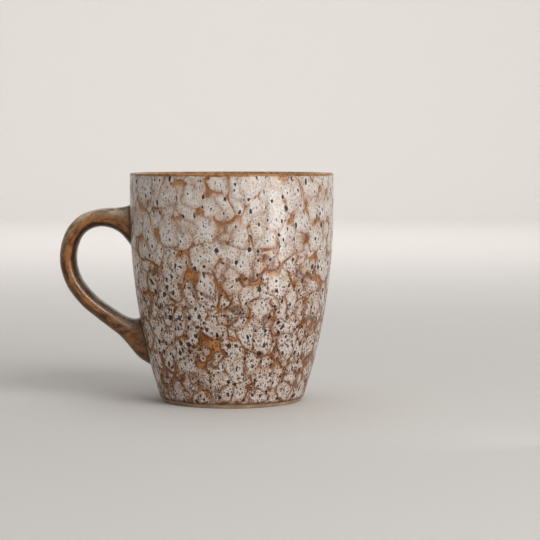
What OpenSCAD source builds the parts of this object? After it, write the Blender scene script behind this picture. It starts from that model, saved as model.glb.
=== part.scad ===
// Stoneware mug with one loop handle: a clay body on a turned foot ring, a clay
// strap luted on as the handle, and the glaze coats that cover them.
// Millimetres. The origin is on the mug's axis, in the plane it stands on.
// +Z is up and the handle points along -X.

/* [Body] */
// Height from the table to the top of the lip, over the glaze
mug_h = 100; // [97:0.5:106]
// Outside radius at the widest level, over the glaze
belly_r = 44.6; // [43.6:0.1:46]
// Level where the wall stops curving out and runs straight up
belly_z = 84; // [80:1:88]
// Radius of the long outside curve from the belly down to the foot
side_curve_r = 268; // [260:1:300]
// Radius of the long inside curve, smaller so that the wall thickens downwards
bore_curve_r = 241; // [235:1:258]
// Thickness of the clay wall at the lip
lip_wall = 3.2; // [2.6:0.1:3.8]
// Rounding of the lip's outer edge, in the clay
lip_outer_edge = 0.4; // [0.3:0.1:1]
// Rounding of the lip's inner edge, in the clay
lip_inner_edge = 1.4; // [1:0.1:1.5]
// Height of the inside floor, in the clay
floor_z = 6.8; // [6:0.2:8]
// Rounding between the inside wall and the floor
floor_corner_r = 11; // [8:0.5:14]

/* [Foot] */
// Inner radius of the foot ring
foot_bore_r = 26; // [24:0.5:27]
// Depth of the recess inside the foot ring
foot_recess = 2.2; // [1.8:0.1:2.8]
// Rounding of the foot ring's two bottom edges
foot_edge = 0.9; // [0.5:0.1:1.2]
// Rounding between the recess's roof and the foot ring
foot_fillet = 1.2; // [0.8:0.1:1.6]

/* [Glaze] */
// Thickness of the glaze coats
glaze_t = 0.5; // [0.4:0.05:0.7]
// Level where the outer coat stops, clear of the table
glaze_stop_z = 1.6; // [1.2:0.1:2.4]
// Depth of the brown band on each side of the lip, from the top
rim_band_h = 2.2; // [2.2:0.1:3]

/* [Handle] */
// Thickness of the slip layer in each joint
slip_t = 0.9; // [0.8:0.1:1.2]
// How square the strap's oval section is: 2 is an ellipse
strap_squareness = 2.4; // [2:0.1:3]

/* [Hidden] */

// Facets of a full turn
$fn = 96;
// Steps along a long side curve
side_steps = 24;
// Steps round a small rounded edge
edge_steps = 5;

// Outside of the clay at the belly, and the same at the lip's inner side
clay_r = belly_r - glaze_t;
bore_r = clay_r - lip_wall;
// Top of the clay lip
clay_top = mug_h - glaze_t;
// Level where the rim band meets the outer coat and the liner
rim_z = mug_h - rim_band_h;
// Centres of the long curves, as [radius, height]
side_centre = [clay_r - side_curve_r, belly_z];
bore_centre = [bore_r - bore_curve_r, belly_z];

// The strap in side view, from inside the wall at the top joint round to inside
// the wall at the bottom joint. Each row is the outer edge, the inner edge, both
// as [distance from the axis, height], and the strap's half-width.
strap_stations = [
    [[38.0, 88.0], [38.0, 62.0], 9.4],
    [[44.0, 85.9], [43.5, 67.4], 8.6],
    [[50.0, 84.7], [49.5, 73.9], 7.4],
    [[58.0, 84.2], [56.5, 76.4], 6.8],
    [[67.0, 81.0], [63.0, 74.6], 6.6],
    [[73.2, 73.6], [66.8, 69.6], 6.6],
    [[75.6, 62.5], [68.1, 62.0], 6.6],
    [[73.0, 51.4], [65.8, 53.4], 6.6],
    [[66.5, 42.3], [59.5, 45.8], 6.7],
    [[57.5, 34.7], [52.0, 40.2], 6.9],
    [[48.8, 27.8], [46.0, 36.6], 7.6],
    [[40.8, 18.7], [41.5, 35.9], 8.6],
    [[34.0, 15.0], [37.0, 38.0], 9.2],
    [[28.0, 14.0], [31.0, 40.0], 9.4]
];
// Rings between two stations, and points round a ring
ring_steps = 3;
ring_sides = 20;
last_ring = (len(strap_stations) - 1) * ring_steps;
// Rings at each end that hold the whole joint
joint_rings = 3 * ring_steps;

// Points on an arc about c, from one angle to another
function arc(c, r, from, to, n) = [
    for (i = [0:n])
        let (a = from + (to - from) * i / n)
        c + r * [cos(a), sin(a)]
];

function reversed(list) = [for (i = [len(list) - 1:-1:0]) list[i]];

// Angle at which a long curve about c passes height z, at radius r
function curve_angle(c, r, z) = -asin((c.y - z) / r);

// Centre of a small arc of radius r that lies at height z and touches the inside
// of the long curve of radius long_r about c
function touching_centre(c, long_r, r, z) =
    [c.x + sqrt(pow(long_r - r, 2) - pow(c.y - z, 2)), z];

// The outside line, grown by coat, from height z up to the belly
function side_line(coat, z) =
    let (r = side_curve_r + coat)
    arc(side_centre, r, curve_angle(side_centre, r, z), 0, side_steps);

// The inside line, grown by coat, from the belly down to the middle of the floor
function bore_line(coat) =
    let (
        r = bore_curve_r - coat,
        corner_r = floor_corner_r - coat,
        corner = touching_centre(bore_centre, r, corner_r, floor_z + floor_corner_r),
        a = curve_angle(bore_centre, r - corner_r, corner.y)
    )
    concat(
        arc(bore_centre, r, 0, a, side_steps),
        arc(corner, corner_r, a, -90, 2 * edge_steps),
        [[0, floor_z + coat]]
    );

// The lip, grown by coat, from the rim band's outer line over to its inner line
function lip_line(coat) = concat(
    [[clay_r + coat, rim_z]],
    arc([clay_r - lip_outer_edge, clay_top - lip_outer_edge], lip_outer_edge + coat,
        0, 90, edge_steps),
    arc([bore_r + lip_inner_edge, clay_top - lip_inner_edge], lip_inner_edge + coat,
        90, 180, edge_steps),
    [[bore_r - coat, rim_z]]
);

// The foot ring's underside, from the middle of the recess out to the side curve
function foot_line() =
    let (
        edge = touching_centre(side_centre, side_curve_r, foot_edge, foot_edge),
        a = curve_angle(side_centre, side_curve_r - foot_edge, foot_edge)
    )
    concat(
        [[0, foot_recess]],
        arc([foot_bore_r - foot_fillet, foot_recess - foot_fillet], foot_fillet,
            90, 0, edge_steps),
        arc([foot_bore_r + foot_edge, foot_edge], foot_edge, 180, 270, edge_steps),
        arc(edge, foot_edge, -90, a, edge_steps)
    );

// Everything inside the clay's outside line, grown by coat
module wall_solid(coat) {
    rotate_extrude()
        polygon(concat([[0, 0]], side_line(coat, 0), [[clay_r + coat, mug_h], [0, mug_h]]));
}

// One value between stations b and c, on a smooth curve through a, b, c and d
function smooth(a, b, c, d, t) =
    b + t * (c - a + t * (2 * a - 5 * b + 4 * c - d + t * (3 * (b - c) + d - a))) / 2;

// Column k of the strap table at ring i
function strap_value(i, k) =
    let (
        last = len(strap_stations) - 1,
        s = min(floor(i / ring_steps), last - 1),
        t = i / ring_steps - s,
        rows = [for (j = [-1:2]) strap_stations[max(0, min(last, s + j))][k]]
    )
    smooth(rows[0], rows[1], rows[2], rows[3], t);

function signed_pow(x, p) = sign(x) * pow(abs(x), p);

// Ring i of the strap, shrunk by inset all round
function strap_ring(i, inset) =
    let (
        outer = strap_value(i, 0),
        inner = strap_value(i, 1),
        middle = (outer + inner) / 2,
        across = outer - inner,
        half = norm(across) / 2 - inset,
        width = strap_value(i, 2) - inset,
        p = 2 / strap_squareness
    )
    [
        for (j = [0:ring_sides - 1])
            let (
                a = 360 * j / ring_sides,
                q = middle + half * signed_pow(cos(a), p) * across / norm(across)
            )
            [-q.x, width * signed_pow(sin(a), p), q.y]
    ];

// The strap's solid between two rings, shrunk by inset
module strap(inset, first = 0, last = last_ring) {
    rings = last - first;
    points = [for (i = [first:last]) each strap_ring(i, inset)];
    sides = [
        for (i = [0:rings - 1], j = [0:ring_sides - 1])
            let (k = (j + 1) % ring_sides)
            each [
                [i * ring_sides + j, (i + 1) * ring_sides + j, (i + 1) * ring_sides + k],
                [i * ring_sides + j, (i + 1) * ring_sides + k, i * ring_sides + k]
            ]
    ];
    start = [for (j = [0:ring_sides - 1]) j];
    end = [for (j = [ring_sides - 1:-1:0]) rings * ring_sides + j];
    polyhedron(points, concat(sides, [start, end]), convexity = 4);
}

// The layer of slip between the wall and the strap's end
module luting_slip(first, last) {
    intersection() {
        strap(glaze_t, first, last);
        difference() {
            wall_solid(slip_t);
            wall_solid(0);
        }
    }
}

module clay_body() {
    color("#b7a28b")
        rotate_extrude()
            polygon(concat(
                foot_line(),
                side_line(0, foot_edge),
                lip_line(0),
                bore_line(0)
            ));
}

module handle_core() {
    color("#ad977f")
        difference() {
            strap(glaze_t);
            wall_solid(slip_t);
        }
}

module upper_luting_slip() {
    color("#9c876f")
        luting_slip(0, joint_rings);
}

module lower_luting_slip() {
    color("#9c876f")
        luting_slip(last_ring - joint_rings, last_ring);
}

module outer_glaze() {
    bead = [side_line(0, glaze_stop_z + glaze_t)[0].x, glaze_stop_z + glaze_t];
    bead_end = curve_angle(side_centre, side_curve_r, bead.y);
    color("#a3907f")
        difference() {
            rotate_extrude()
                polygon(concat(
                    arc(bead, glaze_t, -90, bead_end, edge_steps),
                    side_line(glaze_t, glaze_stop_z + glaze_t),
                    [[clay_r + glaze_t, rim_z], [clay_r, rim_z]],
                    reversed(side_line(0, glaze_stop_z))
                ));
            strap(glaze_t, 0, joint_rings);
            strap(glaze_t, last_ring - joint_rings, last_ring);
        }
}

module liner_glaze() {
    color("#a08c7a")
        rotate_extrude()
            polygon(concat(
                [[bore_r, rim_z]],
                bore_line(0),
                reversed(bore_line(glaze_t)),
                [[bore_r - glaze_t, rim_z]]
            ));
}

module rim_glaze() {
    color("#8a5d35")
        rotate_extrude()
            polygon(concat(lip_line(glaze_t), reversed(lip_line(0))));
}

module handle_glaze() {
    color("#6a4a2c")
        difference() {
            strap(0);
            strap(glaze_t);
            wall_solid(glaze_t);
        }
}

module foot_well_glaze() {
    fillet_centre = [foot_bore_r - foot_fillet, foot_recess - foot_fillet];
    color("#8f7a66")
        rotate_extrude()
            polygon(concat(
                [[0, foot_recess]],
                arc(fillet_centre, foot_fillet, 90, 20, edge_steps),
                arc(fillet_centre, foot_fillet - glaze_t, 20, 90, edge_steps),
                [[0, foot_recess - glaze_t]]
            ));
}

clay_body();
handle_core();
upper_luting_slip();
lower_luting_slip();
outer_glaze();
liner_glaze();
rim_glaze();
handle_glaze();
foot_well_glaze();
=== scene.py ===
"""Stoneware mug with a reactive glaze: the looks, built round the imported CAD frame.

Meshes are in metres, in the CAD's own frame: the origin on the mug's axis at the plane
it stands on, +Z up, the handle along -X. Outlines and glaze patterns are laid out in
millimetres, because that is the scale they live at.
"""

import math
from collections import namedtuple

import bpy
import numpy as np
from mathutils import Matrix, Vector


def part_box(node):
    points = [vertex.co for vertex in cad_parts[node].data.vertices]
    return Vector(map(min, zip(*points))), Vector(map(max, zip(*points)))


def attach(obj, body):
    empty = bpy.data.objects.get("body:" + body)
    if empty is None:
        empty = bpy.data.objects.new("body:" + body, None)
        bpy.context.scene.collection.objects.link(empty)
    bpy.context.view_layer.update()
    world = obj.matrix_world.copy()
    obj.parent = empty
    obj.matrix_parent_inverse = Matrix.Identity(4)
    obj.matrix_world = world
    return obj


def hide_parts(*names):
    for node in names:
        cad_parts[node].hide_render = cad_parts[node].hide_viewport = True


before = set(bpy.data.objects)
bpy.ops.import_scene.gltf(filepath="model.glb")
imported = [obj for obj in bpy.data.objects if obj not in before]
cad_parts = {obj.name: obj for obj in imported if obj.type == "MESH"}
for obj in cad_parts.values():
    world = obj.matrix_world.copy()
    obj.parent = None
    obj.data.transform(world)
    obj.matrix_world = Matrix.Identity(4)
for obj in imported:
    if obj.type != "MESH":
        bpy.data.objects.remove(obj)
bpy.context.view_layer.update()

MM = 0.001
ROOT = "root"

# Points of a mesh round the axis: the outer coat and rim, the inside, and plain parts
OUTER_COLUMNS = 476
INNER_COLUMNS = 340
PLAIN_COLUMNS = 192
# Faces that meet at more than this angle, in degrees, keep a sharp edge between them
SHARP_ANGLE = 40

# ------------------------------------------- sizes in millimetres, read from the frame


def node_box(name):
    """Lowest and highest corner of a CAD node, in millimetres."""
    low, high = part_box(name)
    return low / MM, high / MM


CLAY_R = node_box("clay_body")[1].x
CLAY_TOP = node_box("clay_body")[1].z
BORE_R = node_box("liner_glaze")[1].x
FLOOR_Z = node_box("liner_glaze")[0].z
RIM_Z = node_box("liner_glaze")[1].z
GLAZE_STOP_Z = node_box("outer_glaze")[0].z
WELL_TOP = node_box("foot_well_glaze")[1].z
MUG_H = node_box("rim_glaze")[1].z
GLAZE = MUG_H - CLAY_TOP

# ------------------------------------- the form's curves in millimetres, as in the CAD
BELLY_Z = 84
SIDE_CURVE_R = 268
BORE_CURVE_R = 241
FLOOR_CORNER_R = 11
LIP_OUTER_EDGE = 0.4
LIP_INNER_EDGE = 1.4
FOOT_BORE_R = 26
FOOT_EDGE = 0.9
FOOT_FILLET = 1.2

# The handle's strap in side view, from inside the wall at the top joint round to inside
# the wall at the bottom joint: the outer edge and the inner edge, each as distance from
# the axis and height, and the half-width.
STRAP = np.array([
    [38.0, 88.0, 38.0, 62.0, 9.4],
    [44.0, 85.9, 43.5, 67.4, 8.6],
    [50.0, 84.7, 49.5, 73.9, 7.4],
    [58.0, 84.2, 56.5, 76.4, 6.8],
    [67.0, 81.0, 63.0, 74.6, 6.6],
    [73.2, 73.6, 66.8, 69.6, 6.6],
    [75.6, 62.5, 68.1, 62.0, 6.6],
    [73.0, 51.4, 65.8, 53.4, 6.6],
    [66.5, 42.3, 59.5, 45.8, 6.7],
    [57.5, 34.7, 52.0, 40.2, 6.9],
    [48.8, 27.8, 46.0, 36.6, 7.6],
    [40.8, 18.7, 41.5, 35.9, 8.6],
    [34.0, 15.0, 37.0, 38.0, 9.2],
    [28.0, 14.0, 31.0, 40.0, 9.4],
])
STRAP_SQUARENESS = 2.4


# ---------------------------------------------------------------------------- outlines


def arc(centre, radius, start, end, steps):
    """Points of an arc in the (distance from axis, height) plane, angles in degrees."""
    angles = np.radians(np.linspace(start, end, steps + 1))
    points = np.stack([np.cos(angles), np.sin(angles)], 1) * radius
    return points + np.array(centre)


def side_radius(z, coat=0.0):
    """Outside radius of the clay at height z, grown by a coat."""
    below = np.minimum(np.asarray(z, float) - BELLY_Z, 0)
    return CLAY_R - SIDE_CURVE_R + np.sqrt((SIDE_CURVE_R + coat) ** 2 - below ** 2)


def side_line(low, high, coat, step):
    """The outside line from one height up to another, a point every step or so."""
    z = np.linspace(low, high, max(2, round((high - low) / step) + 1))
    return np.stack([side_radius(z, coat), z], 1)


def bore_line(coat, step):
    """The inside line, grown by a coat, from the rim band down to the floor's middle."""
    centre = (BORE_R - BORE_CURVE_R, BELLY_Z)
    radius = BORE_CURVE_R - coat
    corner_r = FLOOR_CORNER_R - coat
    corner_z = FLOOR_Z + FLOOR_CORNER_R
    reach = radius - corner_r
    corner_x = centre[0] + math.sqrt(reach ** 2 - (BELLY_Z - corner_z) ** 2)
    turn = -math.degrees(math.asin((BELLY_Z - corner_z) / reach))
    wall_steps = round(math.radians(-turn) * radius / step)
    corner_steps = round(math.radians(90 + turn) * corner_r / step)
    straight = np.linspace(RIM_Z, BELLY_Z, round((RIM_Z - BELLY_Z) / step) + 1)
    floor = np.linspace(corner_x, 0, round(corner_x / step) + 1)
    return np.concatenate([
        np.stack([np.full_like(straight, BORE_R - coat), straight], 1)[:-1],
        arc(centre, radius, 0, turn, wall_steps)[:-1],
        arc((corner_x, corner_z), corner_r, turn, -90, corner_steps)[:-1],
        np.stack([floor, np.full_like(floor, FLOOR_Z + coat)], 1),
    ])


def lip_line(coat, steps):
    """Over the lip, grown by a coat, from the outer coat's top to the liner's."""
    outer = (CLAY_R - LIP_OUTER_EDGE, CLAY_TOP - LIP_OUTER_EDGE)
    inner = (BORE_R + LIP_INNER_EDGE, CLAY_TOP - LIP_INNER_EDGE)
    line = [
        np.linspace((CLAY_R + coat, RIM_Z), (CLAY_R + coat, outer[1]), steps)[:-1],
        arc(outer, LIP_OUTER_EDGE + coat, 0, 90, steps)[:-1],
        arc(inner, LIP_INNER_EDGE + coat, 90, 180, 2 * steps),
        [(BORE_R - coat, RIM_Z)],
    ]
    return np.concatenate(line)


def foot_line(steps):
    """Under the foot, from the middle of the recess out to the side curve."""
    well = (FOOT_BORE_R - FOOT_FILLET, WELL_TOP - FOOT_FILLET)
    reach = SIDE_CURVE_R - FOOT_EDGE
    edge_x = CLAY_R - SIDE_CURVE_R + math.sqrt(reach ** 2 - (BELLY_Z - FOOT_EDGE) ** 2)
    turn = -math.degrees(math.asin((BELLY_Z - FOOT_EDGE) / reach))
    ring = np.linspace(FOOT_BORE_R + FOOT_EDGE, edge_x, 2 * steps)[1:-1]
    return np.concatenate([
        np.linspace((0, WELL_TOP), (well[0], WELL_TOP), steps)[:-1],
        arc(well, FOOT_FILLET, 90, 0, steps),
        arc((FOOT_BORE_R + FOOT_EDGE, FOOT_EDGE), FOOT_EDGE, 180, 270, steps),
        np.stack([ring, np.zeros_like(ring)], 1),
        arc((edge_x, FOOT_EDGE), FOOT_EDGE, -90, turn, steps),
    ])


# ------------------------------------------------------------------------------ meshes


def skin_mesh(name, rows, wrap):
    """A mesh object from rings of points in millimetres.

    A row is a ring, (columns, 3), or a single point, (1, 3), where the mesh closes on
    the axis. wrap also joins the last row to the first, which closes a shell.
    """
    starts = np.cumsum([0] + [len(row) for row in rows])
    faces = []
    pairs = list(zip(range(len(rows) - 1), range(1, len(rows))))
    if wrap:
        pairs.append((len(rows) - 1, 0))
    for a, b in pairs:
        count = max(len(rows[a]), len(rows[b]))
        here = np.arange(count)
        ahead = (here + 1) % count
        low = [starts[a] + here % len(rows[a]), starts[a] + ahead % len(rows[a])]
        high = [starts[b] + here % len(rows[b]), starts[b] + ahead % len(rows[b])]
        if len(rows[a]) == 1:
            columns = [low[0], high[1], high[0]]
        elif len(rows[b]) == 1:
            columns = [low[0], low[1], high[0]]
        else:
            columns = [low[0], low[1], high[1], high[0]]
        faces.extend(np.stack(columns, 1).tolist())
    mesh = bpy.data.meshes.new(name)
    mesh.from_pydata((np.concatenate(rows) * MM).tolist(), [], faces)
    mesh.polygons.foreach_set("use_smooth", np.ones(len(mesh.polygons), bool))
    mesh.set_sharp_from_angle(angle=math.radians(SHARP_ANGLE))
    obj = bpy.data.objects.new(name, mesh)
    bpy.context.scene.collection.objects.link(obj)
    return obj


def revolved(name, line, columns, wrap=False):
    """The line turned about the axis. A point on the axis becomes a pole."""
    angles = np.linspace(0, 2 * math.pi, columns, endpoint=False)
    circle = np.stack([np.cos(angles), np.sin(angles)], 1)
    rows = []
    for radius, z in line:
        ring = np.column_stack([circle * radius, np.full(columns, z)])
        rows.append(ring if radius > 1e-6 else ring[:1])
    return skin_mesh(name, rows, wrap)


def smooth_between(table, t):
    """Rows of a table at parameters t, on a smooth curve that passes through them all."""
    last = len(table) - 1
    index = np.clip(np.floor(t).astype(int), 0, last - 1)
    f = (t - index)[..., None]
    a, b, c, d = (table[np.clip(index + k, 0, last)] for k in (-1, 0, 1, 2))
    return b + f * (c - a + f * (2 * a - 5 * b + 4 * c - d + f * (3 * (b - c) + d - a))) / 2


def strap_points(t, angle, inset):
    """Points on the strap at stations t and ring angles, and the middle of each ring."""
    row = smooth_between(STRAP, t)
    outer = row[..., 0:2]
    inner = row[..., 2:4]
    across = outer - inner
    length = np.linalg.norm(across, axis=-1, keepdims=True)
    power = 2 / STRAP_SQUARENESS
    along = np.sign(np.cos(angle)) * np.abs(np.cos(angle)) ** power
    sideways = np.sign(np.sin(angle)) * np.abs(np.sin(angle)) ** power
    middle = (outer + inner) / 2
    edge = middle + (length / 2 - inset) * along[..., None] * across / length
    y = (row[..., 4] - inset) * sideways
    points = np.stack([-edge[..., 0], y, edge[..., 1]], -1)
    centre = np.stack([-middle[..., 0], np.zeros_like(y), middle[..., 1]], -1)
    return points, centre


def wall_gap(points, coat):
    """How far points stand out from the wall's outside, grown by a coat."""
    return np.hypot(points[..., 0], points[..., 1]) - side_radius(points[..., 2], coat)


def strap_skin(rows, columns, inset, coat, fillet=0.0):
    """The strap's skin as rings, each lengthwise line cut where it meets the wall.

    inset is how deep under the strap's surface the skin lies, and coat how far out of the
    clay wall the cut is. A fillet flares the skin's ends out on to the wall.
    """
    samples = 2600
    angles = np.linspace(0, 2 * math.pi, columns, endpoint=False)
    fine = np.linspace(0, len(STRAP) - 1, samples)
    t, angle = np.meshgrid(fine, angles, indexing="ij")
    outside = wall_gap(strap_points(t, angle, inset)[0], coat) > 0
    first = fine[np.argmax(outside, 0)]
    last = fine[samples - 1 - np.argmax(outside[::-1], 0)]
    centre = strap_points(fine, np.zeros_like(fine), 0)[1]
    strides = np.linalg.norm(np.diff(centre, axis=0), axis=1)
    length = np.concatenate([[0], np.cumsum(strides)])
    reach = np.interp([first, last], fine, length)
    share = np.linspace(0, 1, rows)[:, None]
    t = np.interp(reach[0] + (reach[1] - reach[0]) * share, length, fine)
    points, centre = strap_points(t, np.broadcast_to(angles, t.shape), inset)
    if fillet:
        away = points - centre
        away /= np.linalg.norm(away, axis=-1, keepdims=True)
        gap = np.maximum(wall_gap(points, coat), 0)[..., None]
        points = points + away * fillet * np.exp(-gap / fillet)
    return list(points)


# ------------------------------------------------- formulas for node trees, as in code


def plug(tree, value, socket):
    """Feeds a field or a constant into a node's socket."""
    if isinstance(value, Field):
        tree.links.new(value.socket, socket)
    else:
        socket.default_value = value


def add_node(tree, kind, inputs, output=0, **settings):
    """Adds a node, feeds its inputs and gives one output, all by name or by number."""
    node = tree.nodes.new(kind)
    for name, value in settings.items():
        setattr(node, name, value)
    for key, value in inputs.items():
        plug(tree, value, node.inputs[key])
    return Field(tree, node.outputs[output])


class Field:
    """A value that varies over a surface, in a shader tree or a geometry tree."""

    def __init__(self, tree, socket):
        self.tree = tree
        self.socket = socket

    def math(self, operation, *others):
        inputs = dict(enumerate((self, *others)))
        return add_node(self.tree, "ShaderNodeMath", inputs, operation=operation)

    def vector_math(self, operation, *others, output=0):
        inputs = dict(enumerate((self, *others)))
        return add_node(self.tree, "ShaderNodeVectorMath", inputs, output, operation=operation)

    def __add__(self, other):
        return self.math("ADD", other)

    def __sub__(self, other):
        return self.math("SUBTRACT", other)

    def __rsub__(self, other):
        return self.math("MULTIPLY", -1.0).math("ADD", other)

    def __mul__(self, other):
        return self.math("MULTIPLY", other)

    def __truediv__(self, other):
        return self.math("DIVIDE", other)

    __radd__ = __add__
    __rmul__ = __mul__

    def at_least(self, other):
        return self.math("MAXIMUM", other)

    def at_most(self, other):
        return self.math("MINIMUM", other)

    def bell(self, width):
        """1 where the field is 0, falling to nothing within a few widths either side."""
        return (self * self * (-1.0 / width ** 2)).math("EXPONENT")

    def fade(self, length):
        """1 where the field is 0 or less, dying away over a length above it."""
        return (self.at_least(0.0) * (-1.0 / length)).math("EXPONENT")

    def step(self, low, high, to_low=0.0, to_high=1.0):
        """A smooth step from to_low to to_high as the field goes from low to high."""
        inputs = {0: self, 1: low, 2: high, 3: to_low, 4: to_high}
        kind = "ShaderNodeMapRange"
        return add_node(self.tree, kind, inputs, interpolation_type="SMOOTHSTEP")

    def xyz(self):
        """A vector field's three parts."""
        node = self.tree.nodes.new("ShaderNodeSeparateXYZ")
        plug(self.tree, self, node.inputs[0])
        return [Field(self.tree, output) for output in node.outputs]

    def moved(self, offset):
        """A vector field moved by a constant or by another vector field."""
        return self.vector_math("ADD", offset)

    def scaled(self, factors):
        """A vector field stretched by a constant or by another vector field."""
        return self.vector_math("MULTIPLY", factors)

    def times(self, factor):
        """A vector field times one number or one plain field."""
        if isinstance(factor, Field):
            return self.scaled(vector(factor, factor, factor))
        return self.scaled((factor, factor, factor))

    def along(self, direction):
        """How far a vector field reaches along another one of length 1."""
        return self.vector_math("DOT_PRODUCT", direction, output="Value")

    def length(self):
        """A vector field's length."""
        return self.vector_math("LENGTH", output="Value")


def vector(x, y, z):
    """A vector field from three parts, one of them a field and the others maybe numbers."""
    tree = next(part.tree for part in (x, y, z) if isinstance(part, Field))
    return add_node(tree, "ShaderNodeCombineXYZ", {0: x, 1: y, 2: z})


def noise(point, size, detail=1.0, roughness=0.5, output=0):
    """Soft noise from 0 to 1 whose waves are about size long. Output 1 is a vector of it."""
    inputs = {"Vector": point, "Scale": 1.0 / size, "Detail": detail, "Roughness": roughness}
    return add_node(point.tree, "ShaderNodeTexNoise", inputs, output)


def warped(point, size, amount):
    """The point pushed about by noise, by up to about half of amount."""
    push = noise(point, size, 0.0, output=1)
    return point.moved(push.moved((-0.5, -0.5, -0.5)).times(amount))


# What cells() gives: the distance to the nearest of scattered seeds, that seed's place,
# and three numbers from 0 to 1 that are its own.
Cells = namedtuple("Cells", "distance seed numbers")


def cells(point, size, randomness=1.0):
    """The cells round seeds that are scattered about size apart."""
    inputs = {"Vector": point, "Scale": 1.0 / size, "Randomness": randomness}
    distance = add_node(point.tree, "ShaderNodeTexVoronoi", inputs, feature="F1")
    seed, numbers = (distance.socket.node.outputs[name] for name in ("Position", "Color"))
    return Cells(distance * size, Field(point.tree, seed), Field(point.tree, numbers))


def cell_border(point, size):
    """Distance to the border between the cells that cells() with the same size gives."""
    inputs = {"Vector": point, "Scale": 1.0 / size}
    kind = "ShaderNodeTexVoronoi"
    return add_node(point.tree, kind, inputs, feature="DISTANCE_TO_EDGE") * size


def paint(code):
    """A colour in linear light from its usual #rrggbb code."""
    parts = [int(code[i:i + 2], 16) / 255 for i in (1, 3, 5)]
    linear = [c / 12.92 if c <= 0.04045 else ((c + 0.055) / 1.055) ** 2.4 for c in parts]
    return (*linear, 1.0)


def blend(amount, first, second):
    """The first colour where amount is 0, the second where it is 1."""
    inputs = {0: amount, 6: first, 7: second}
    return add_node(amount.tree, "ShaderNodeMix", inputs, 2, data_type="RGBA")


# ---------------------------------------------------------------- the reactive pattern

# The white coat: thick, and thin at an island's margin
GLAZE_WHITE = paint("#e8e6e4")
GLAZE_MARGIN = paint("#b27d3c")
# The brown ground between islands: two shades, and the paler one near the lip
GLAZE_AMBER = paint("#bd7a30")
GLAZE_TAN = paint("#9c6632")
GLAZE_THIN = paint("#c09468")
# The shadow and the dark line under an island
GLAZE_SHADE = paint("#a85f16")
GLAZE_LINE = paint("#4a2406")
# Pits, dots and the net of fine specks
GLAZE_PIT = paint("#331203")
GLAZE_DOT = paint("#44200a")
GLAZE_NET = paint("#6e3f14")

# How much of the room the glaze mirrors, as Blender's specular level: where it is
# smooth, and in its pits.
GLOSS = 0.28
PIT_GLOSS = 0.03

# Layers of glaze islands from the lowest up: spacing, radius and offset, in mm.
ISLAND_LAYERS = [
    (9.3, 8.2, (3.0, 7.0, 1.0)),
    (10.4, 7.8, (41.0, 13.0, 29.0)),
    (9.6, 7.0, (17.0, 31.0, 63.0)),
]

# Specks in the glaze: spacing, smallest and largest radius, in mm.
PITS = (4.4, 0.32, 0.9)
DOTS = (2.3, 0.17, 0.7)
FINES = (1.15, 0.12, 0.42)
# Pits are drawn out upwards, as the glaze ran down
PIT_STRETCH = (1.0, 1.0, 0.85)
# Offsets that keep the fields of specks apart, in mm
DOT_OFFSET = (5.0, 9.0, 3.0)
FINE_OFFSET = (2.0, 1.0, 8.0)
BUSY_OFFSET = (9.0, 4.0, 2.0)

# The radius that the wall's pattern is rolled to, and how drips are drawn out: the
# pattern's height is z * (DRIP_FOOT - DRIP_LOSS * z).
ROLL_R = 42.0
DRIP_FOOT = 1.08
DRIP_LOSS = 0.0022
# Where the pattern of the inside starts, so that it isn't the outside's
LINER_OFFSET = (60.0, 20.0, 5.0)

# What speck_field() gives: how far a point is from the nearest speck's edge in
# millimetres, and how far from its middle in radii of that speck.
Specks = namedtuple("Specks", "gap radii")
# A coat's fields. relief is in millimetres, and the others are a shader's inputs.
Coat = namedtuple("Coat", "colour relief roughness gloss")


def speck_field(point, facing, spacing, smallest, largest):
    """Round specks that are centred on the surface, which looks along facing."""
    nearest = cells(point, spacing, randomness=0.9)
    share = nearest.numbers.xyz()[0]
    away = point.vector_math("SUBTRACT", nearest.seed)
    flat = away.vector_math("SUBTRACT", facing.times(away.along(facing)))
    distance = flat.length()
    radius = share * share * (largest - smallest) + smallest
    return Specks(distance - radius, distance / radius)


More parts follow.
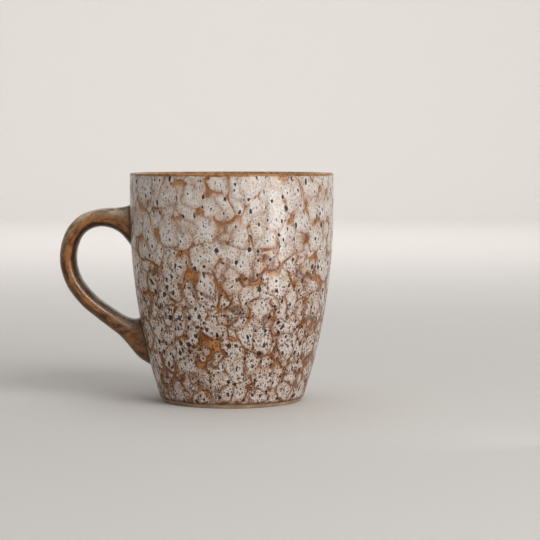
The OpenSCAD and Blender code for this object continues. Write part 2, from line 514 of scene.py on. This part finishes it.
def glaze_islands(point, lower):
    """White islands of thick glaze in layers, each hanging like a drip, on brown.

    lower runs from 0.5 near the lip to 1 near the foot. Gives the colour, the relief in
    millimetres, how far islands cover the point, and how thick the coat is there, the
    last two from 0 to 1.
    """
    gutter = lower * 0.3 + 0.08
    soft = warped(warped(point, 10.0, 5.0), 3.2, 1.8)
    drift = noise(point, 15.0)
    grain = noise(point, 1.3, 2.0)
    lobe = cells(soft, 4.2).distance

    veil = noise(point, 4.0, 2.0).step(0.45, 0.65)
    colour = blend(veil, GLAZE_AMBER, GLAZE_TAN)
    colour = blend((1.3 - lower) * 0.9, colour, GLAZE_THIN)
    cover = 0.4
    thick = 0.0
    relief = 0.0
    for spacing, radius, offset in ISLAND_LAYERS:
        place = soft.moved(offset)
        island = cells(place, spacing)
        # How far inside the island's edge a point is
        inside = (drift - 0.5) * 2.5 - lobe * 0.6 + radius - island.distance
        border = cell_border(place, spacing) * 1.2 - gutter
        inside = inside.math("SMOOTH_MIN", border, 2.2)
        # Islands fade out at the top and end in a firm line at the bottom
        rise = (place.xyz()[2] - island.seed.xyz()[2]) / island.distance.at_least(0.4)
        top = rise.step(0.1, 1.0)
        firm = (1.0 - top) * noise(place, 7.0).step(0.36, 0.52, 0.6, 1.0)
        shade = (inside * -1.0).fade(0.7) * firm * (lower * 1.2 - 0.2)
        colour = blend(shade * 0.85, colour, GLAZE_SHADE)
        line = ((inside + 0.2) / (lower * 0.25 + 0.15)).bell(1.0) * firm
        colour = blend(line * (lower * 0.95 - 0.1), colour, GLAZE_LINE)
        alpha = (inside / (top * 2.0 + 0.5)).step(0.0, 1.0)
        white = inside.step(0.0, 1.8, 0.75 - lower * 0.5, 0.96) * (1.0 - top * 0.45)
        white = white * grain.step(0.3, 0.6, 0.6, 1.0)
        colour = blend(alpha, colour, blend(white, GLAZE_MARGIN, GLAZE_WHITE))
        cover = (1.0 - alpha) * cover + alpha
        thick = (1.0 - alpha) * (1.0 - line) * thick + alpha * inside.step(0.0, 1.5)
        groove = (inside + 0.2).bell(0.6) * firm * 0.04
        relief = (1.0 - alpha) * relief + alpha * 0.06 - groove
    return colour, relief, cover, thick


def reactive_glaze(point, facing, height):
    """The white and brown coat, with pits and specks that grow towards the foot.

    point is the place in the pattern, facing the way the surface looks there, and
    height the level on the mug, both lengths in millimetres.
    """
    lower = height.step(35.0, 85.0, 1.0, 0.5)
    colour, relief, cover, thick = glaze_islands(point, lower)
    size = lower * 0.9 + 0.38
    busy = noise(point.moved(BUSY_OFFSET), 8.0).step(0.3, 0.6, 0.7, 1.0)
    busy = busy * (lower * 0.6 + 0.4)
    crumbled = warped(point, 2.2, 1.2)
    pits = speck_field(crumbled.scaled(PIT_STRETCH), facing, *PITS)
    dots = speck_field(crumbled.moved(DOT_OFFSET), facing, *DOTS)
    fines = speck_field(crumbled.moved(FINE_OFFSET), facing, *FINES)
    pit = (pits.radii / size).step(0.75, 1.15, 1.0, 0.0) * cover.step(0.4, 0.9)
    dot = (dots.radii / size).step(0.75, 1.15, 1.0, 0.0) * busy
    fine = (fines.radii / size).step(0.7, 1.3, 1.0, 0.0) * busy
    halo = (pits.gap.fade(1.0) * 0.9).at_least(dots.gap.fade(0.45) * 0.7)
    coat = thick * 0.75 + cover * 0.25
    colour = blend(busy * coat * 0.3, colour, GLAZE_MARGIN)
    colour = blend(halo * coat, colour, GLAZE_WHITE)
    colour = blend(fine * 0.85, colour, GLAZE_NET)
    colour = blend(dot * 0.82, colour, GLAZE_DOT)
    colour = blend(pit * 0.92, colour, GLAZE_PIT)
    roughness = noise(point, 4.0).step(0.3, 0.7, 0.16, 0.26) + pit * 0.2
    # GLOSS is multiplied in last, because the glTF exporter keeps such a constant
    gloss = (1.0 - pit.at_least(dot) * (1.0 - PIT_GLOSS / GLOSS)) * GLOSS
    return Coat(colour, relief - pit * 0.08 - dot * 0.02, roughness, gloss)


def rolled(place):
    """Where a place on the wall or the lip lies in the pattern, with the wall rolled to
    one radius and the drips drawn out towards the top. Also gives the way out from the
    axis and the level, which together are what reactive_glaze() takes."""
    x, y, z = place.xyz()
    outward = vector(x, y, 0.0).vector_math("NORMALIZE")
    up = z * (z * -DRIP_LOSS + DRIP_FOOT)
    return outward.times(ROLL_R).moved(vector(0.0, 0.0, up)), outward, z


# --------------------------------------------------------------------------- materials


def wall_distance(point):
    """How far a point stands out from the outer coat, in millimetres."""
    x, y, z = point.xyz()
    below = (z - BELLY_Z).at_most(0.0)
    curve = (SIDE_CURVE_R + GLAZE) ** 2 - below * below
    radius = curve.math("SQRT") + (CLAY_R - SIDE_CURVE_R)
    return vector(x, y, 0.0).length() - radius


def new_material(name):
    """An empty material, its shader node and the surface's place in millimetres."""
    material = bpy.data.materials.new(name)
    material.use_nodes = True
    tree = material.node_tree
    shader = tree.nodes["Principled BSDF"]
    place = add_node(tree, "ShaderNodeTexCoord", {}, "Object").times(1 / MM)
    return material, shader, place


def finish_material(shader, colour, relief, roughness, gloss=GLOSS):
    """Feeds a coat's fields, with the relief in millimetres, into a shader."""
    tree = colour.tree
    plug(tree, colour, shader.inputs["Base Color"])
    plug(tree, roughness, shader.inputs["Roughness"])
    plug(tree, gloss, shader.inputs["Specular IOR Level"])
    inputs = {"Strength": 1.0, "Distance": MM, "Height": relief}
    bump = add_node(tree, "ShaderNodeBump", inputs)
    plug(tree, bump, shader.inputs["Normal"])


def rim_brown(place):
    """The brown that the glaze turns where it runs thin over the lip."""
    mottle = noise(place, 2.2, 3.0).step(0.35, 0.65)
    return blend(mottle, paint("#8a5e36"), paint("#b5875a"))


def wall_material():
    """The coat of the outside and the lip, brown where it runs thin over the edge."""
    material, shader, place = new_material("reactive_glaze")
    point, outward, height = rolled(place)
    coat = reactive_glaze(point, outward, height)

    # The brown band: the lip's outer edge, and all of its inner side
    x, y = place.xyz()[:2]
    inner = vector(x, y, 0.0).length().step(BORE_R + 1.0, BORE_R + 2.0, 1.0, 0.0)
    inner = inner * height.step(MUG_H - 8.0, MUG_H - 5.0)
    edge = height + (noise(place, 2.4, 2.0) - 0.5) * 1.2
    band = edge.step(MUG_H - 1.35, MUG_H - 0.95).at_least(inner)
    beads = speck_field(warped(place, 1.0, 0.4), outward, 1.3, 0.1, 0.5)
    bead = beads.radii.step(0.5, 1.2, 1.0, 0.0) * noise(place, 16.0).step(0.4, 0.6)
    brown = blend(bead, rim_brown(place), paint("#4a2c15"))
    colour = blend(band, coat.colour, brown)

    # The coat also thins where it stops above the foot
    foot = height + (noise(place, 3.0, 2.0) - 0.5) * 2.0
    colour = blend(foot.step(2.0, 3.4, 0.8, 0.0), colour, paint("#6b4327"))
    relief = coat.relief + noise(place, 5.0) * 0.25
    finish_material(shader, colour, relief, coat.roughness, coat.gloss)
    return material


def liner_material():
    """The coat of the inside: the outside's pattern shifted, with a brown band on top."""
    material, shader, place = new_material("liner_glaze")
    height = place.xyz()[2]
    normal = add_node(material.node_tree, "ShaderNodeTexCoord", {}, "Normal")
    coat = reactive_glaze(place.moved(LINER_OFFSET), normal, height)
    edge = height + (noise(place, 3.0, 2.0) - 0.5) * 3.0
    band = edge.step(MUG_H - 4.8, MUG_H - 3.4)
    colour = blend(band, coat.colour, rim_brown(place))
    finish_material(shader, colour, coat.relief, coat.roughness, coat.gloss)
    return material


def handle_material():
    """The brown coat of the handle, mottled in streaks that run along the strap, with light and
    shade painted across it: painted shade along its inner edge, on its outer side and where it meets
    the wall, lighter amber painted on the middle of its sides, and a painted pale tan top light
    where it faces up."""
    material, shader, place = new_material("brown_glaze")
    loop_centre = (-52.0, 0.0, 57.0)
    streak_length = 8.0  # millimetres of the streaks' pattern to a radian of the loop

    x, y, z = place.vector_math("SUBTRACT", loop_centre).xyz()
    reach = vector(x, 0.0, z)
    normal = add_node(material.node_tree, "ShaderNodeTexCoord", {}, "Normal")
    outward = normal.along(reach.vector_math("NORMALIZE"))
    around = z.math("ARCTAN2", x * -1.0) * streak_length
    streaks = warped(vector(reach.length(), y, around), 3.5, 3.0)
    mottle = noise(streaks, 2.0, 3.0, 0.6)
    patch = noise(streaks.moved((9.0, 3.0, 1.0)), 3.4, 3.0, 0.6)

    colour = blend(mottle.step(0.35, 0.65), paint("#472709"), paint("#825024"))
    # Painted light on real amber mottle: the lighter amber is kept to the middle of the strap's
    # sides, between its painted dark edges
    lit_middle = outward.step(-0.65, -0.15) * outward.step(0.0, 0.5, 1.0, 0.0)
    lit_middle = lit_middle * place.xyz()[2].step(18.0, 50.0, 0.55, 0.95)
    colour = blend(lit_middle * mottle.step(0.25, 0.6), colour, paint("#ab733e"))
    # Painted light: the pale tan patches are laid only where the strap faces up, as a lighter top
    top_light = (outward * 0.1 + normal.xyz()[2]).step(-0.1, 0.8)
    colour = blend(patch.step(0.38, 0.56, 0.42, 0.95) * top_light, colour, paint("#d0b89c"))
    # Painted shade on real olive mottle: dark olive patches are kept to the outer side of the loop,
    # away from the light
    olive_outer_shade = outward.step(0.4, 0.9) * patch.step(0.35, 0.5, 1.0, 0.0)
    colour = blend(olive_outer_shade * 0.7, colour, paint("#483a22"))
    # Painted shade: the inner edge of the loop, which faces the wall, is painted dark brown
    inner_edge_shade = outward.step(-0.9, -0.35, 0.8, 0.0)
    colour = blend(inner_edge_shade, colour, paint("#341e0c"))
    specks = speck_field(warped(place, 1.2, 0.5), normal, 1.15, 0.1, 0.4)
    speck = specks.radii.step(0.6, 1.2, 1.0, 0.0)
    colour = blend(speck * 0.5, colour, paint("#24160c"))
    # Painted shade: a dark band where the strap meets the wall, in the crease between them
    wall_crease_shade = wall_distance(place).step(0.4, 1.5, 0.8, 0.0)
    colour = blend(wall_crease_shade, colour, paint("#4b3524"))

    relief = noise(streaks, 2.5, 2.0) * 0.12 - speck * 0.02
    roughness = noise(place, 3.0, 2.0).step(0.3, 0.7, 0.14, 0.24)
    finish_material(shader, colour, relief, roughness, gloss=1.5 * GLOSS)
    return material


def stoneware_material(name, light, dark):
    """Bare fired clay: matte and sandy, with iron specks and turning lines."""
    material, shader, place = new_material(name)
    colour = blend(noise(place, 6.0, 4.0, 0.6).step(0.35, 0.65), paint(dark), paint(light))
    iron = cells(place, 0.9)
    speck = iron.distance.step(0.08, 0.2, 1.0, 0.0) * iron.numbers.xyz()[1].step(0.5, 0.6)
    colour = blend(speck * 0.8, colour, paint("#4c3526"))
    x, y, z = place.xyz()
    turning = noise(vector(vector(x, y, 0.0).length(), z, 0.0), 0.7, 2.0)
    relief = turning * 0.12 + noise(place, 0.35, 2.0) * 0.08
    roughness = noise(place, 0.5, 2.0).step(0.3, 0.7, 0.72, 0.9)
    finish_material(shader, colour, relief, roughness)
    return material


# ------------------------------------------------------------------------------ pieces


def relieved(obj, pattern, skin):
    """Pushes the points of a piece's showing skin out by a pattern's relief.

    skin is a weight for each point: 1 where the relief is full and 0 where it stops.
    """
    mesh = obj.data
    weight = mesh.attributes.new("skin", "FLOAT", "POINT")
    weight.data.foreach_set("value", np.asarray(skin, np.float32))
    tree = bpy.data.node_groups.new("relief", "GeometryNodeTree")
    tree.interface.new_socket("Geometry", in_out="INPUT", socket_type="NodeSocketGeometry")
    tree.interface.new_socket("Geometry", in_out="OUTPUT", socket_type="NodeSocketGeometry")
    start = tree.nodes.new("NodeGroupInput")
    end = tree.nodes.new("NodeGroupOutput")
    place = add_node(tree, "GeometryNodeInputPosition", {}).times(1 / MM)
    outward = add_node(tree, "GeometryNodeInputNormal", {})
    share = add_node(tree, "GeometryNodeInputNamedAttribute", {"Name": "skin"})
    offset = outward.times(pattern(place) * share * MM)
    inputs = {"Geometry": Field(tree, start.outputs[0]), "Offset": offset}
    moved = add_node(tree, "GeometryNodeSetPosition", inputs)
    plug(tree, moved, end.inputs[0])
    modifier = obj.modifiers.new("relief", "NODES")
    modifier.node_group = tree
    depsgraph = bpy.context.evaluated_depsgraph_get()
    made = bpy.data.meshes.new_from_object(obj.evaluated_get(depsgraph))
    obj.modifiers.clear()
    obj.data = made
    made.attributes.remove(made.attributes["skin"])
    bpy.data.meshes.remove(mesh)
    bpy.data.node_groups.remove(tree)


def piece_points(obj):
    """The piece's points in millimetres."""
    points = np.zeros(len(obj.data.vertices) * 3)
    obj.data.vertices.foreach_get("co", points)
    return points.reshape(-1, 3) / MM


def placed(obj, material, slot, *nodes):
    """Gives a piece its material and its place in the frame."""
    obj.data.materials.append(material)
    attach(obj, ROOT)
    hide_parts(*nodes)


def ramp(value, low, high):
    """0 below low, 1 above high, straight between."""
    return np.clip((value - low) / (high - low), 0, 1)


def make_outer_coat(material):
    """The coat of the outside, a shell that ends in a rounded bead above the foot."""
    step = 0.53
    bead_z = GLAZE_STOP_Z + GLAZE
    bead = (float(side_radius(bead_z)), bead_z)
    turn = -math.degrees(math.asin((BELLY_Z - bead_z) / SIDE_CURVE_R))
    line = np.concatenate([
        arc(bead, GLAZE, -90, turn, 4)[:-1],
        side_line(bead_z, RIM_Z, GLAZE, step),
        side_line(GLAZE_STOP_Z, RIM_Z, 0, 8)[::-1],
    ])
    coat = revolved("outer_glaze_coat", line, OUTER_COLUMNS, wrap=True)
    points = piece_points(coat)
    showing = wall_gap(points, GLAZE / 2) > 0
    skin = showing * ramp(points[:, 2], 2.0, 5.0) * ramp(RIM_Z - points[:, 2], 0.2, 3.0)

    def pattern(place):
        return reactive_glaze(*rolled(place)).relief

    relieved(coat, pattern, skin)
    placed(coat, material, "reactive_glaze", "outer_glaze")


def make_rim_band(material):
    """The band of coat over the lip."""
    line = np.concatenate([lip_line(GLAZE, 6), lip_line(0, 3)[::-1]])
    band = revolved("rim_glaze_band", line, OUTER_COLUMNS, wrap=True)
    placed(band, material, "rim_glaze", "rim_glaze")


def make_liner_coat(material):
    """The coat of the inside: its hidden side from the floor up, then its showing side
    back down, with no relief at the rim band or at the floor's middle."""
    hidden_line = bore_line(0, 6)[::-1]
    line = np.concatenate([hidden_line, bore_line(GLAZE, 0.8)])
    coat = revolved("liner_glaze_coat", line, INNER_COLUMNS)
    points = piece_points(coat)
    from_axis = np.hypot(points[:, 0], points[:, 1])
    skin = ramp(RIM_Z - points[:, 2], 0.2, 3.0) * ramp(from_axis, 1, 4)
    hidden_points = 1 + (len(hidden_line) - 1) * INNER_COLUMNS
    skin[:hidden_points] = 0

    def pattern(place):
        normal = add_node(place.tree, "GeometryNodeInputNormal", {})
        return reactive_glaze(place.moved(LINER_OFFSET), normal, place.xyz()[2]).relief

    relieved(coat, pattern, skin)
    placed(coat, material, "liner_glaze", "liner_glaze")


def make_clay_cup(material):
    """The clay cup: foot, outside, lip and inside in one skin."""
    lip_steps = 3
    line = np.concatenate([
        foot_line(8)[:-1],
        side_line(FOOT_EDGE, CLAY_TOP - LIP_OUTER_EDGE, 0, 4),
        lip_line(0, lip_steps)[lip_steps:-1],
        bore_line(0, 4),
    ])
    cup = revolved("clay_cup", line, PLAIN_COLUMNS)
    placed(cup, material, "stoneware", "clay_body")


def make_foot_well(material):
    """The coat on the roof of the recess in the foot, which thins out in its corner."""
    corner_end = 20  # degrees up the corner where the coat ends
    well = (FOOT_BORE_R - FOOT_FILLET, WELL_TOP - FOOT_FILLET)
    line = np.concatenate([
        np.linspace((0, WELL_TOP), (well[0], WELL_TOP), 6)[:-1],
        arc(well, FOOT_FILLET, 90, corner_end, 6),
        arc(well, FOOT_FILLET - GLAZE, corner_end, 90, 6),
        np.linspace((well[0], WELL_TOP - GLAZE), (0, WELL_TOP - GLAZE), 40)[1:],
    ])
    coat = revolved("foot_well_glaze_coat", line[::-1], PLAIN_COLUMNS)
    placed(coat, material, "liner_glaze", "foot_well_glaze")


def make_handle_coat(material):
    """The coat of the handle, filleted on to the wall and sunk a little into its coat."""
    bury = 0.12
    rows = 300
    columns = 96
    outer = strap_skin(rows, columns, 0.0, bury, fillet=0.7)
    inner = strap_skin(60, columns, GLAZE, bury)
    coat = skin_mesh("handle_glaze_coat", outer + inner[::-1], wrap=True)
    points = piece_points(coat)
    skin = ramp(wall_gap(points, GLAZE), 0.5, 3.0)
    skin[rows * columns:] = 0

    def pattern(place):
        return noise(place, 4.0, 2.0) * 0.3 - 0.15

    relieved(coat, pattern, skin)
    placed(coat, material, "brown_glaze", "handle_glaze")


wall_glaze = wall_material()
inside_glaze = liner_material()
clay = stoneware_material("stoneware", "#bfa78c", "#a68a6d")
make_outer_coat(wall_glaze)
make_rim_band(wall_glaze)
make_liner_coat(inside_glaze)
make_foot_well(inside_glaze)
make_clay_cup(clay)
make_handle_coat(handle_material())

# The strap's clay and the slip in its joints stay as the CAD has them, inside the coat.
slip = stoneware_material("slip", "#a88d72", "#8d7259")
for node, material in {
    "handle_core": clay,
    "upper_luting_slip": slip,
    "lower_luting_slip": slip,
}.items():
    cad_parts[node].data.materials.clear()
    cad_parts[node].data.materials.append(material)

# ----------------------------------------------------------- backdrop, lights, camera


def make_backdrop():
    """A wide round floor that curves up into a wall, all one pale matte surface."""
    reach = 2600
    cove = 500
    wall_top = 2400
    line = np.concatenate([
        [(0, 0)],
        [(reach - cove, 0)],
        arc((reach - cove, cove), cove, -90, 0, 16)[1:],
        [(reach, wall_top)],
    ])
    backdrop = revolved("backdrop", line, 128)
    backdrop.data.flip_normals()
    material = bpy.data.materials.new("backdrop_paint")
    material.use_nodes = True
    shader = material.node_tree.nodes["Principled BSDF"]
    shader.inputs["Base Color"].default_value = paint("#dedddb")
    shader.inputs["Roughness"].default_value = 0.9
    shader.inputs["Specular IOR Level"].default_value = 0.1
    backdrop.data.materials.append(material)


def make_light(name, place, target, size, power, colour, glossy_only=False):
    """A rectangular soft light of some watts that faces a target, all in metres.

    The camera never sees the light itself. One that is glossy_only shows as a reflection
    and lights nothing else.
    """
    data = bpy.data.lights.new(name, "AREA")
    data.shape = "RECTANGLE"
    data.size, data.size_y = size
    data.energy = power
    data.color = paint(colour)[:3]
    lamp = bpy.data.objects.new(name, data)
    bpy.context.scene.collection.objects.link(lamp)
    away = Vector(place) - Vector(target)
    lamp.location = place
    lamp.rotation_mode = "QUATERNION"
    lamp.rotation_quaternion = away.to_track_quat("Z", "Y")
    lamp.visible_camera = False
    lamp.visible_diffuse = not glossy_only


make_backdrop()
MIDDLE = (0.0, 0.0, 0.05)
BACKDROP_FOOT = (0.0, 2.4, 0.3)
make_light("key", (0.72, -0.84, 0.70), MIDDLE, (0.8, 1.1), 10.8, "#fffcf8")
make_light("overhead", (0.0, 0.3, 1.6), MIDDLE, (1.4, 1.4), 5.0, "#fffdfa")
make_light("fill", (-1.1, -0.9, 0.9), MIDDLE, (0.9, 0.9), 0.2, "#fafbff")
make_light("back", (0.0, 1.2, 1.4), BACKDROP_FOOT, (1.6, 1.0), 20.5, "#fffaf7")
make_light("window", (0.124, -0.118, 0.055), MIDDLE, (0.04, 0.10), 0.11, "#ffffff", glossy_only=True)
make_light("pane", (0.234, -0.552, 0.26), MIDDLE, (0.10, 0.48), 1.5, "#ffffff", glossy_only=True)

world = bpy.data.worlds.new("studio")
world.use_nodes = True
sky = world.node_tree.nodes["Background"]
sky.inputs["Color"].default_value = paint("#f4f2f0")
sky.inputs["Strength"].default_value = 0.28
bpy.context.scene.world = world

# The camera looks along +Y and a little down, which puts the handle on the left.
CAMERA_PLACE = (0.0168, -0.806, 0.110)
CAMERA_TILT = 3.75  # degrees below level
CAMERA_LENS = 122.3  # millimetres, on a sensor 36 mm wide
lens = bpy.data.cameras.new("camera")
lens.lens = CAMERA_LENS
lens.sensor_width = 36
lens.clip_end = 20
camera = bpy.data.objects.new("camera", lens)
bpy.context.scene.collection.objects.link(camera)
camera.location = CAMERA_PLACE
camera.rotation_euler = (math.radians(90 - CAMERA_TILT), 0, 0)
bpy.context.scene.camera = camera
bpy.context.scene.view_settings.view_transform = "Standard"
